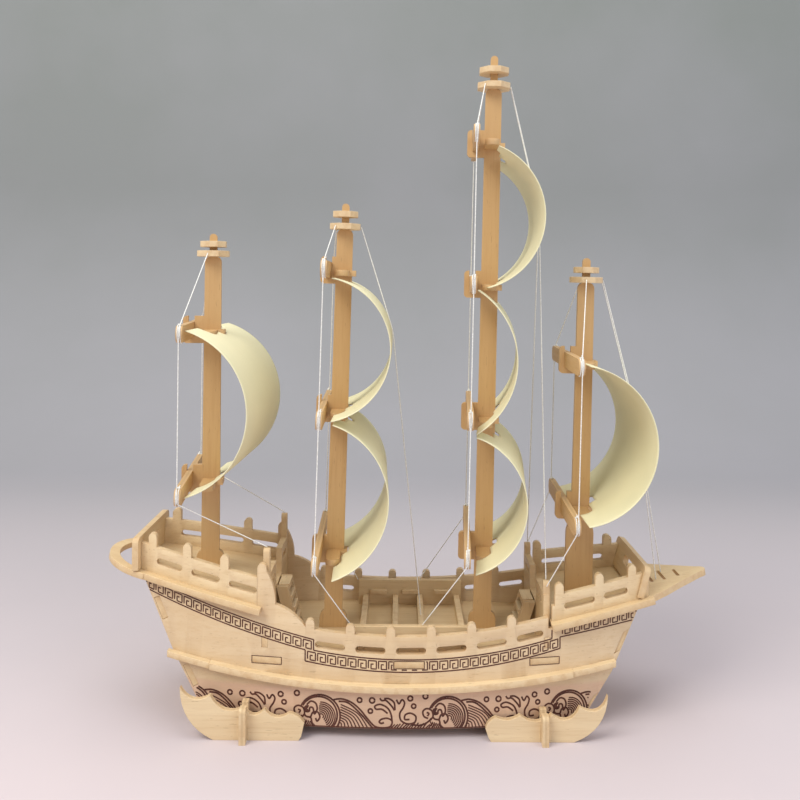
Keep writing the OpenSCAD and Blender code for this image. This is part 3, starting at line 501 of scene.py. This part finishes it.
def breaker():
    """One rolling wave with foam, spray, drops and undertow, about the middle of its roll.
    Each stroke has its width."""
    bold = [arc(0, 0, 9.7, -36, 156), arc(0, 0, 8.1, -43, 152, 9.1)]
    # foam head: three curls and their foot
    bold += [smooth(curl) for curl in (
        [(-9.6, -0.5), (-11.6, 0.5), (-12.1, 2.8), (-10.3, 4.1), (-7.9, 3.2), (-7.2, 0.5), (-8.6, -1.4)],
        [(-10.3, 2.3), (-9.2, 1.8), (-9.9, 0.6)],
        [(-6.2, 4.6), (-4.2, 6.4), (-1.9, 5.5), (-1.2, 2.8), (-2.5, 0.5), (-3.2, 3.2), (-4.6, 3.4), (-4.9, 1.8)],
        [(-4.2, -0.9), (-3.2, 1.2), (-0.9, 1.4), (0.1, -0.9), (-1.2, -2.8), (-1.9, -1.4)],
        [(-7.2, 0.0), (-6.2, -0.9), (-4.2, -1.4), (-3.6, -3.7), (-1.9, -5.4)],
    )]
    bold += [arc(-5.9, 2.7, 0.35 + 0.5 * k, 60, 330) for k in range(3)]
    # back of the wave, and its tail that curls up
    bold += [smooth([(6.5, 7.6), (10.5, 8.1), (15.2, 6.5), (19.2, 3.2), (22.3, -0.5), (26.0, -4.3), (30.0, -5.0),
                     (33.3, -4.3), (34.1, -1.8), (32.0, -0.5), (29.3, -0.9), (28.1, -2.1), (29.0, -2.9), (30.3, -2.5)])]
    bold += [smooth([(8.9, 6.9), (12.5, 6.7), (15.9, 4.6), (20.6, 0.0), (24.0, -4.0), (25.2, -5.2)])]
    # spray
    bold += [smooth(curl) for curl in (
        [(32.0, 1.8), (29.3, 3.7), (26.7, 3.7), (26.0, 5.1), (28.6, 6.0), (32.0, 4.3), (33.6, 1.4), (34.1, -1.8)],
        [(28.3, 8.9), (29.3, 7.8), (31.3, 7.8), (34.0, 5.1), (35.2, 3.2)],
        [(30.3, 8.7), (32.6, 8.7), (35.0, 6.9), (35.4, 3.4)],
        [(36.1, 8.3), (37.3, 6.4), (38.7, 8.3), (39.9, 6.9), (39.3, 4.6), (37.7, 1.8), (38.3, -1.4), (41.3, -3.0),
         (44.7, -2.3), (45.2, 0.5), (42.7, 2.0), (40.3, 1.2), (40.1, -0.9), (42.3, -0.9)],
        [(43.3, -3.4), (47.4, -3.7), (50.7, -2.3), (52.6, -0.4)],
    )]
    drops = (
        (-10.9, 9.9, 1.15), (18.8, 7.8, 1.05), (24.7, 7.8, 1.2),
        (23.9, 2.8, 1.0), (44.2, 5.3, 1.0), (42.6, 8.9, 1.1))
    bold += [arc(x, z, r, 0, 354) for x, z, r in drops]
    fine = [arc(0.7, -0.4, 1.1 + 0.92 * k, -50 - 2 * k, 118 - 4 * k) for k in range(7)]
    for k in range(9):
        start, end = Vector((9.9 - 0.02 * k * k, 5.5 - 1.2 * k)), Vector((22.8 - 1.8 * k, -5.3))
        middle = (start + end) / 2 + (1.6 - 0.13 * k) * Vector((1.0, 0.9))
        fine.append(smooth([tuple(start), tuple(middle), tuple(end)]))
    fine += [[(-8.6 + 1.0 * k, -1.8 - 0.3 * k), (-7.2 + 1.0 * k, -5.1)] for k in range(5)]
    # ripples at the waterline
    rng = random.Random(4)
    for k in range(15):
        x = 33.6 + 1.35 * k
        fine.append([(x, -5.1), (x + 1.9 + rng.uniform(-0.2, 0.3), -2.7 + rng.uniform(-0.7, 0.4))])
    return [(BOLD, stroke) for stroke in bold] + [(FINE, stroke) for stroke in fine]


ROLL_Z = 10.5
HULL_Z = 5.0
# middle of each roll, and how much its motif is stretched along the hull
ROLLS = ((-104.9, 1.04), (-41.9, 1.0), (18.4, 0.97), (76.3, 0.96))


def wave_strokes():
    # a dark line along the hull's bottom edge: partly burnt, partly painted shadow under the hull
    out = [(FINE, [(x, HULL_Z + 0.4) for x in range(-96, 83)])]
    for cx, stretch in ROLLS:
        out += [(width, [(cx + stretch * x, ROLL_Z + z) for x, z in stroke]) for width, stroke in breaker()]
    return out


def tab_outline(x):
    """The dark gap round a tab that comes through the hull's side."""
    half_l, half_h, z = 7.25, 1.75, 35.0
    corners = ((-1, -1), (1, -1), (1, 1), (-1, 1), (-1, -1))
    return [(x + i * half_l, z + k * half_h) for i, k in corners]


def in_wave_band(x, z):
    """On the hull's side, below the strake."""
    return on_hull_side(x, z) and z < 22.9 + 0.00075 * x * x


for side, word in ((-1, "starboard"), (1, "port")):
    bm = bmesh.new()
    for stroke in fret_strokes():
        for run in clip(refine(stroke), on_hull_side):
            ribbon(bm, run, FINE, side)
    finish_piece("fret_bands_" + word, bm, ink)
    bm = bmesh.new()
    for x in TAB_X:
        ribbon(bm, refine(tab_outline(x)), 0.26, side)
    for width, stroke in wave_strokes():
        for run in clip(refine(stroke, 0.8), in_wave_band):
            ribbon(bm, run, width, side)
    finish_piece("breaking_waves_" + word, bm, ink)

# ---------------------------------------------------------------- sails

# mast, top and bottom edge, station of the starboard edge, bulge, half width, turn and tilt
SAILS = {
    "mizzen_sail": ("mizzen", 191.2, 111.5, -106.5, 30.0, 40.0, -3.3, 0.0),
    "second_upper_sail": ("second", 216.6, 147.9, -37.6, 28.4, 40.0, 0.0, 0.0),
    "second_lower_sail": ("second", 147.2, 73.0, -36.7, 27.0, 40.0, 1.5, 0.0),
    "main_upper_sail": ("main", 280.8, 211.9, 37.2, 25.0, 32.5, -1.6, 3.8),
    "main_middle_sail": ("main", 211.3, 142.4, 31.4, 19.3, 40.0, -7.0, 0.0),
    "main_lower_sail": ("main", 141.8, 76.5, 31.2, 24.3, 40.0, -6.5, 0.0),
    "fore_sail": ("fore", 175.9, 99.6, 84.4, 32.5, 41.0, -0.3, 0.0),
}
PAPER = 0.45  # thickness of the paper
# the notch round a crosstree: its middle from the mast's, end radius and half width, and the
# front and half width of the crosstree's collar
TREE_X = -0.6
NOTCH_R = 4.0
NOTCH_HALF = 19.5
COLLAR_FRONT = 6.8
COLLAR_HALF = 5.0
# rows of faces in the notch and between the notches, and the least share that a notch takes
EDGE_ROWS, MIDDLE_ROWS = 8, 44
MIN_CUT = 0.004


def sail_arc(name):
    """Radius of the sail's arc, its half angle, half of its chord, and the sail's place."""
    _, top, bottom, near_x, bulge, half, turn, tilt = SAILS[name]
    chord = (top - bottom) / 2
    r = (chord ** 2 + bulge ** 2) / (2 * bulge)
    place = (
        Matrix.Translation((near_x - half * math.sin(math.radians(turn)), 0, bottom))
        @ Matrix.Rotation(math.radians(turn), 4, "Z")
        @ Matrix.Rotation(math.radians(tilt), 4, "Y")
    )
    return r, math.atan2(chord, r - bulge), chord, place


def sail(name):
    mast, top, _, _, bulge, half, _, _ = SAILS[name]
    r, span, chord, place = sail_arc(name)
    to_mast = mast_frame(mast).inverted() @ place
    phase = random.Random(len(name) + top).uniform(0, 6)

    def at(v, y):
        angle = span * (1 - 2 * v)
        rr = r - 0.2 + 0.12 * math.sin(3.1 * v + phase) + 0.10 * math.sin(y * 0.07 + phase)
        return Vector((bulge - r + rr * math.cos(angle), y, chord + rr * math.sin(angle)))

    def cut(y, low):
        """How much of the arc the notch round the mast takes from one edge."""
        for k in range(200):
            v = k / 400
            p = to_mast @ at(1 - v if low else v, y)
            beyond = max(0.0, abs(p.y) - NOTCH_HALF + NOTCH_R)
            front = COLLAR_FRONT
            if abs(p.y) >= COLLAR_HALF:
                front = TREE_X + math.sqrt(max(0.0, NOTCH_R ** 2 - beyond ** 2))
            if p.x > front:
                return max(MIN_CUT, v)
        return MIN_CUT

    outer = [NOTCH_HALF + (half - NOTCH_HALF) * k / 12 for k in range(1, 13)]
    inner = [NOTCH_HALF * math.sin(math.pi / 2 * k / 16) for k in range(-16, 17)]
    columns = [-y for y in outer[::-1]] + inner + outer
    bm = bmesh.new()
    grid = []
    for y in columns:
        edge_y = max(-NOTCH_HALF, min(NOTCH_HALF, y))
        high, low = cut(edge_y, False), 1 - cut(edge_y, True)
        vs = [high * k / EDGE_ROWS for k in range(EDGE_ROWS)]
        vs += [high + (low - high) * k / MIDDLE_ROWS for k in range(MIDDLE_ROWS)]
        vs += [low + (1 - low) * k / EDGE_ROWS for k in range(EDGE_ROWS + 1)]
        whole = abs(y) >= NOTCH_HALF - 1e-6
        rows = range(len(vs)) if whole else range(EDGE_ROWS, EDGE_ROWS + MIDDLE_ROWS + 1)
        grid.append({i: bm.verts.new((place @ at(vs[i], y)) * MM) for i in rows})
    for one, two in zip(grid, grid[1:]):
        for i in one:
            if all(k in column for column in (one, two) for k in (i, i + 1)):
                bm.faces.new((one[i], two[i], two[i + 1], one[i + 1]))
    obj = finish_piece(name + "_paper", bm, paper, smooth=True, closed=False)
    solid = obj.modifiers.new("thickness", "SOLIDIFY")
    solid.thickness = PAPER * MM
    solid.offset = 1.0
    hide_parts(name)


for name in SAILS:
    sail(name)

# ---------------------------------------------------------------- rigging

SPAR_H = 8.0
THREAD_R = 0.25
WRAP_R = SPAR_H / 2 + 0.45  # of the thread's middle round a spar's end
# stations of the break walls' faces that threads are tied at
POOP_WALL = -68.5
FORE_WALL = 65.8
# lower disc's height and diameter, half length and height of each spar, tie of the side lines
RIGS = {
    "mizzen": (228.6, 16.0, ((45, 189.5), (45, 112.9)), (POOP_WALL, 31.4, 86.9)),
    "second": (243.1, 15.6, ((46, 220.5), (46, 149.1), (46, 80.7)), (-27.6, 32.3, DECK_TOP + 13)),
    "main": (315.9, 16.6, ((39, 286.2), (46, 213.7), (46, 149.1), (46, 84.2)),
             (6.5, 32.3, DECK_TOP + 13.8)),
    "fore": (216.4, 16.0, ((45, 175.0), (45, 100.0)), (FORE_WALL, 33.0, 69.4)),
}
# where the side lines leave the lower disc, from the mast's middle
LINE_X = {"mizzen": -2.0, "second": -4.8, "main": -4.6, "fore": -1.2}
# sail that the stay lies on, its distance from the middle plane, and its tie
STAYS = (
    ("second_upper_sail", 0.0, (6.5, 0.0, DECK_TOP + 6.1)),
    ("main_upper_sail", -0.8, (FORE_WALL, -30.4, 71.9)),
    ("main_upper_sail", 0.8, (FORE_WALL, 30.4, 71.9)),
    ("fore_sail", 1.5, (131.4, 3.5, 64.6)),
    ("fore_sail", -1.5, (126.4, -5.0, 63.75)),
)


def touch(p, mid, r, way):
    """Angle at which a line from p touches a circle."""
    dx, dz = p[0] - mid[0], p[1] - mid[1]
    return math.atan2(dz, dx) - way * math.acos(r / math.hypot(dx, dz))


def side_line(mast, side):
    """From the lower disc round the end of each spar and down to the tie."""
    disc_z, disc_d, spars, tie = RIGS[mast]
    spar_x = MASTS[mast][4]
    frame_ = mast_frame(mast)
    rim = (math.sqrt((disc_d / 2 + 0.4) ** 2 - LINE_X[mast] ** 2), disc_z)
    points = [frame_ @ Vector((LINE_X[mast], side * rim[0], rim[1]))]
    for n, (half, z) in enumerate(spars):
        mid = (half - SPAR_H / 2, z)
        a = touch(rim, mid, WRAP_R, 1) if n == 0 else math.radians(8)
        b = touch(tie[1:], mid, WRAP_R, -1) if n == len(spars) - 1 else 0.0
        steps = max(1, math.ceil(abs(math.degrees(a - b)) / 8))
        for k in range(steps + 1):
            t_ = a + (b - a) * k / steps
            out_ = side * (mid[0] + WRAP_R * math.cos(t_))
            points.append(frame_ @ Vector((spar_x, out_, mid[1] + WRAP_R * math.sin(t_))))
    return points + [Vector((tie[0], side * tie[1], tie[2]))]


def stay_line(name, y, tie):
    """From the front of the lower disc over the sail and down to the tie."""
    mast, bulge = SAILS[name][0], SAILS[name][4]
    r, _, chord, place = sail_arc(name)
    disc_z, disc_d = RIGS[mast][:2]
    start = mast_frame(mast) @ Vector((disc_d / 2 + 0.5, 0, disc_z))
    tilt = Matrix.Rotation(math.radians(SAILS[name][7]), 3, "Y")
    tilted = place.translation + tilt @ Vector((bulge - r, 0, chord))
    mid = (tilted.x, tilted.z)
    lie = r + 0.8
    a = touch((start.x, start.z), mid, lie, 1)
    b = touch((tie[0], tie[2]), mid, lie, -1)
    steps = max(1, math.ceil(math.degrees(a - b) / 4))
    points = [Vector((start.x, y, start.z))]
    for k in range(steps + 1):
        t_ = a + (b - a) * k / steps
        points.append(Vector((mid[0] + lie * math.cos(t_), y, mid[1] + lie * math.sin(t_))))
    return points + [Vector(tie)]


def tube(bm, points, radius, sides=8):
    """A closed round tube through the points, in millimetres."""
    rings = []
    up = Vector((0.31, 0.22, 0.93))
    for i, p in enumerate(points):
        along = (points[min(i + 1, len(points) - 1)] - points[max(i - 1, 0)]).normalized()
        u = (up - up.dot(along) * along).normalized()
        v = along.cross(u)
        up = u
        turn = [2 * math.pi * k / sides for k in range(sides)]
        rings.append([
            bm.verts.new((p + radius * (math.cos(q) * u + math.sin(q) * v)) * MM) for q in turn])
    for one, two in zip(rings, rings[1:]):
        for k in range(sides):
            bm.faces.new((one[k], one[(k + 1) % sides], two[(k + 1) % sides], two[k]))
    bm.faces.new(rings[0][::-1])
    bm.faces.new(rings[-1])


def knot(bm, at, rng):
    """A small round knot with a short end that stands off it."""
    turns = [
        at + Vector((0.5 * math.cos(q), 0.45 * math.sin(q), 0.2 * math.sin(2.3 * q)))
        for q in (2 * math.pi * k / 10 for k in range(31))]
    tube(bm, turns, THREAD_R)
    reach = Vector((rng.uniform(-0.8, 1.6), rng.uniform(-0.8, 0.8), rng.uniform(1.0, 1.9)))
    tube(bm, [at + reach * (k / 5) - Vector((0, 0, 0.5 * (k / 5) ** 2)) for k in range(6)], 0.2)


def lashings(mast, side):
    """The further turns that the side line takes round each spar's end, and their knots."""
    spars = RIGS[mast][2]
    spar_x = MASTS[mast][4]
    frame_ = mast_frame(mast)
    rng = random.Random(len(mast) * 7 + side)
    bm = bmesh.new()
    for half, z in spars:
        mid = half - SPAR_H / 2
        for across in (-0.62, 0.58):
            wander = rng.uniform(-0.25, 0.25)
            tight = WRAP_R - 0.15
            tube(bm, [
                frame_ @ Vector((
                    spar_x + across + wander * math.sin(q),
                    side * (mid + tight * math.cos(q)),
                    z + tight * math.sin(q)))
                for q in (math.radians(a) for a in range(-110, 111, 10))], THREAD_R)
        knot_x = spar_x + rng.uniform(-0.5, 0.5)
        knot(bm, frame_ @ Vector((knot_x, side * (mid - 0.4), z + SPAR_H / 2 + 0.45)), rng)
    return finish_piece(mast + "_lashings_" + ("starboard" if side < 0 else "port"), bm, thread, smooth=True)


def thread_line(name, points, node, pieces):
    """A taut thread through the points, which stands for a node's thread of the same route."""
    curve = bpy.data.curves.new(name, "CURVE")
    curve.dimensions = "3D"
    spline = curve.splines.new("POLY")
    spline.points.add(len(points) - 1)
    for target, p in zip(spline.points, points):
        target.co = (*(p * MM), 1.0)
    curve.bevel_depth = THREAD_R * MM
    curve.bevel_resolution = 3
    curve.use_fill_caps = True
    curve.materials.append(thread)
    obj = bpy.data.objects.new(name, curve)
    scene.collection.objects.link(obj)
    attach(obj, SHIP)
    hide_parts(node)


for mast in MASTS:
    for side, word in ((-1, "starboard"), (1, "port")):
        line_ = side_line(mast, side)
        thread_line(mast + "_side_line_" + word, line_, mast + "_rigging", [lashings(mast, side)])
for count, (name, y, tie) in enumerate(STAYS):
    thread_line(f"stay_{count + 1}", stay_line(name, y, tie), SAILS[name][0] + "_rigging", [])

# ---------------------------------------------------------------- floor and light

floor = bmesh.new()
cove = [math.radians(k) for k in range(10, 91, 10)]
profile = [(-1.6, 0.0), (0.45, 0.0)]
profile += [(0.45 + 0.35 * math.sin(a), 0.35 - 0.35 * math.cos(a)) for a in cove]
profile += [(0.8, 1.8)]
for (y0, z0), (y1, z1) in zip(profile, profile[1:]):
    strip = ((-2.2, y0, z0), (2.2, y0, z0), (2.2, y1, z1), (-2.2, y1, z1))
    floor.faces.new([floor.verts.new(p) for p in strip])
bmesh.ops.remove_doubles(floor, verts=floor.verts, dist=1e-6)
bmesh.ops.recalc_face_normals(floor, faces=floor.faces)
mesh = bpy.data.meshes.new("backdrop")
floor.to_mesh(mesh)
floor.free()
for poly in mesh.polygons:
    poly.use_smooth = True
backdrop = bpy.data.objects.new("backdrop", mesh)
scene.collection.objects.link(backdrop)
t = Tree("pale_backdrop")
where = split(t, t.coords.outputs["Object"])
reach = t.math("ADD", where[1], where[2])
cloth = t.noise(t.coords.outputs["Object"], 4.0, 4.0)
tone = t.mix(t.band(reach, -0.15, 0.5), (0.64, 0.55, 0.56), (0.33, 0.32, 0.335))
tone = t.mix(t.band(reach, 0.5, 1.4), tone, (0.235, 0.25, 0.235))
tone = t.mix(t.band(cloth, 0.35, 0.75, 0.0, 0.22), tone, (0.40, 0.38, 0.42))
t.plug(t.shader.inputs["Base Color"], tone)
t.shader.inputs["Roughness"].default_value = 0.95
mesh.materials.append(t.mat)

world = bpy.data.worlds.new("studio")
scene.world = world
world.use_nodes = True
world.node_tree.nodes["Background"].inputs["Color"].default_value = (0.82, 0.88, 1.0, 1.0)
world.node_tree.nodes["Background"].inputs["Strength"].default_value = 0.55


def area(name, at, target, size, power, colour):
    data = bpy.data.lights.new(name, "AREA")
    data.shape = "RECTANGLE"
    data.size, data.size_y = size
    data.energy = power
    data.color = colour
    obj = bpy.data.objects.new(name, data)
    scene.collection.objects.link(obj)
    obj.location = at
    obj.rotation_euler = (Vector(target) - Vector(at)).to_track_quat("-Z", "Y").to_euler()


area("key", (-0.9, -0.9, 1.5), (0, 0, 0.1), (1.0, 1.0), 26.0, (1.0, 0.97, 0.90))
area("fill", (1.1, -1.0, 0.9), (0, 0, 0.12), (1.2, 1.2), 8.0, (0.90, 0.94, 1.0))
area("top", (0.1, 0.1, 1.7), (0, 0, 0), (1.6, 1.2), 14.0, (1.0, 0.98, 0.95))

scene.view_settings.view_transform = "Standard"
